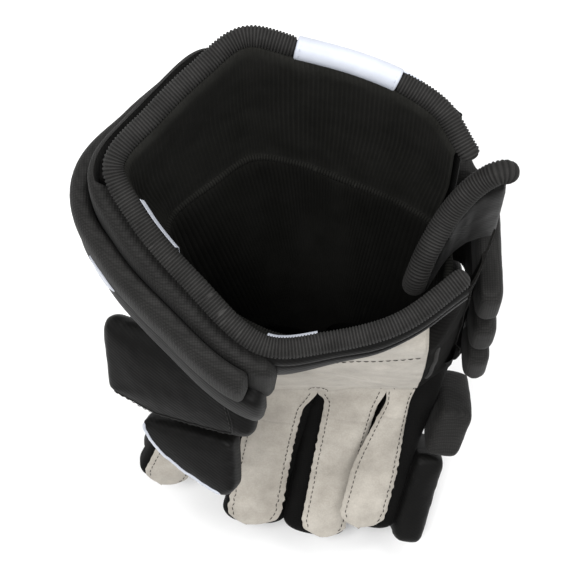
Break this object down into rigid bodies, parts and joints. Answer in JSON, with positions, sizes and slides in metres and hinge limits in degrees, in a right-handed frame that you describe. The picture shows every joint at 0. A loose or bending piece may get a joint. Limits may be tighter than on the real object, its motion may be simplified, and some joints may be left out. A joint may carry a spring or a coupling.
{
  "type": "ice hockey glove",
  "caption": "Padded ice hockey glove for the right hand, with a flared cuff, side flap, hinged finger and thumb pads and a soft leather palm.",
  "frame": {"origin": "middle of the hand compartment's opening at the wrist, inside the cuff", "axes": "+Z out of the cuff along the forearm, -Y out of the palm, +X towards the little finger"},
  "size_m": [0.1813, 0.1603, 0.2916],
  "materials": {
    "ribbed_binding": "matt rib-knit tape",
    "ribbed_lining": "matt ribbed lining",
    "mesh_shell": "fine mesh weave over foam",
    "smooth_nylon": "smooth nylon, slight sheen",
    "mesh_gusset": "open stretch mesh",
    "palm_leather": "soft napped synthetic leather",
    "white_tab": "smooth white, low gloss",
    "plastic_insert": "satin moulded sheet"
  },
  "bodies": {
    "hand": {"back_plate_1": "plastic_insert", "back_plate_2": "plastic_insert", "back_plate_3": "plastic_insert", "back_roll_1": "mesh_shell", "back_roll_2": "mesh_shell", "back_roll_3": "mesh_shell", "hand_lining": "ribbed_lining", "palm_leather": "palm_leather", "palm_patch": "palm_leather", "side_panel": "smooth_nylon", "wrist_mouth_binding": "ribbed_binding"},
    "cuff": {"cuff_back_panel": "mesh_shell", "cuff_back_plate": "plastic_insert", "cuff_back_roll": "mesh_shell", "cuff_lining": "ribbed_lining", "cuff_lower_band": "smooth_nylon", "cuff_outer_roll": "mesh_shell", "cuff_palm_band": "mesh_shell", "cuff_rim_binding": "ribbed_binding", "cuff_rim_tab": "white_tab", "cuff_shoulder_band": "mesh_shell"},
    "cuff_flap": {"cuff_flap_binding": "ribbed_binding", "cuff_flap_pad": "smooth_nylon", "cuff_flap_plate": "plastic_insert"},
    "index_base": {"index_base_gusset": "mesh_gusset", "index_base_leather": "palm_leather", "index_base_pad": "mesh_shell", "index_base_plate": "plastic_insert"},
    "index_tip": {"index_tip_gusset": "mesh_gusset", "index_tip_leather": "palm_leather", "index_tip_pad": "mesh_shell"},
    "middle_base": {"middle_base_gusset": "mesh_gusset", "middle_base_leather": "palm_leather", "middle_base_pad": "mesh_shell", "middle_base_plate": "plastic_insert"},
    "middle_tip": {"middle_tip_gusset": "mesh_gusset", "middle_tip_leather": "palm_leather", "middle_tip_pad": "mesh_shell"},
    "ring_base": {"ring_base_gusset": "mesh_gusset", "ring_base_leather": "palm_leather", "ring_base_pad": "mesh_shell", "ring_base_plate": "plastic_insert"},
    "ring_tip": {"ring_tip_gusset": "mesh_gusset", "ring_tip_leather": "palm_leather", "ring_tip_pad": "mesh_shell"},
    "pinky_base": {"pinky_base_gusset": "mesh_gusset", "pinky_base_leather": "palm_leather", "pinky_base_pad": "mesh_shell", "pinky_base_plate": "plastic_insert"},
    "pinky_tip": {"pinky_tip_gusset": "mesh_gusset", "pinky_tip_leather": "palm_leather", "pinky_tip_pad": "mesh_shell"},
    "thumb_base": {"thumb_base_block": "mesh_shell", "thumb_base_gusset": "mesh_gusset", "thumb_base_leather": "palm_leather", "thumb_base_plate": "plastic_insert"},
    "thumb_tip": {"thumb_tip_guard": "smooth_nylon", "thumb_tip_gusset": "mesh_gusset", "thumb_tip_leather": "palm_leather"}
  },
  "joints": [
    {"name": "cuff_tilt", "type": "hinge", "parent": "hand", "child": "cuff", "pos_m": [0, -0.05, 0.006], "axis": [1, 0, 0], "range_deg": [-1, 10], "stiffness_Nm_per_rad": 4},
    {"name": "flap_splay", "type": "hinge", "parent": "cuff", "child": "cuff_flap", "pos_m": [0.064, -0.004, 0.002], "axis": [0.7564, 0.6542, 0], "range_deg": [0, 12], "stiffness_Nm_per_rad": 1},
    {"name": "index_knuckle_curl", "type": "hinge", "parent": "hand", "child": "index_base", "pos_m": [-0.037, -0.026, -0.105], "axis": [-0.9239, 0.099, 0.3696], "range_deg": [-4, 45], "stiffness_Nm_per_rad": 0.3},
    {"name": "index_tip_curl", "type": "hinge", "parent": "index_base", "child": "index_tip", "pos_m": [-0.05231, -0.03556, -0.1407], "axis": [-0.9239, 0.099, 0.3696], "range_deg": [0, 50], "stiffness_Nm_per_rad": 0.3},
    {"name": "middle_knuckle_curl", "type": "hinge", "parent": "hand", "child": "middle_base", "pos_m": [-0.0085, -0.025, -0.105], "axis": [-0.9816, 0.0866, 0.17], "range_deg": [-4, 45], "stiffness_Nm_per_rad": 0.3},
    {"name": "middle_tip_curl", "type": "hinge", "parent": "middle_base", "child": "middle_tip", "pos_m": [-0.01671, -0.04416, -0.14261], "axis": [-0.9816, 0.0866, 0.17], "range_deg": [0, 50], "stiffness_Nm_per_rad": 0.3},
    {"name": "ring_knuckle_curl", "type": "hinge", "parent": "hand", "child": "ring_base", "pos_m": [0.0275, -0.024, -0.105], "axis": [-0.9848, 0.0842, 0.1519], "range_deg": [-4, 45], "stiffness_Nm_per_rad": 0.3},
    {"name": "ring_tip_curl", "type": "hinge", "parent": "ring_base", "child": "ring_tip", "pos_m": [0.02003, -0.04453, -0.14204], "axis": [-0.9848, 0.0842, 0.1519], "range_deg": [0, 50], "stiffness_Nm_per_rad": 0.3},
    {"name": "pinky_knuckle_curl", "type": "hinge", "parent": "hand", "child": "pinky_base", "pos_m": [0.0565, -0.025, -0.105], "axis": [-0.9703, 0.1173, 0.2116], "range_deg": [-4, 45], "stiffness_Nm_per_rad": 0.3},
    {"name": "pinky_tip_curl", "type": "hinge", "parent": "pinky_base", "child": "pinky_tip", "pos_m": [0.04682, -0.04382, -0.13895], "axis": [-0.9703, 0.1173, 0.2116], "range_deg": [0, 50], "stiffness_Nm_per_rad": 0.3},
    {"name": "thumb_base_swing", "type": "hinge", "parent": "hand", "child": "thumb_base", "pos_m": [-0.041, -0.027, -0.052], "axis": [0.9006, -0.3292, 0.2838], "range_deg": [-4, 11], "stiffness_Nm_per_rad": 0.4},
    {"name": "thumb_tip_curl", "type": "hinge", "parent": "thumb_base", "child": "thumb_tip", "pos_m": [-0.04, -0.0384, -0.0684], "axis": [0.9006, -0.3292, 0.2838], "range_deg": [0, 22], "stiffness_Nm_per_rad": 0.3}
  ]
}
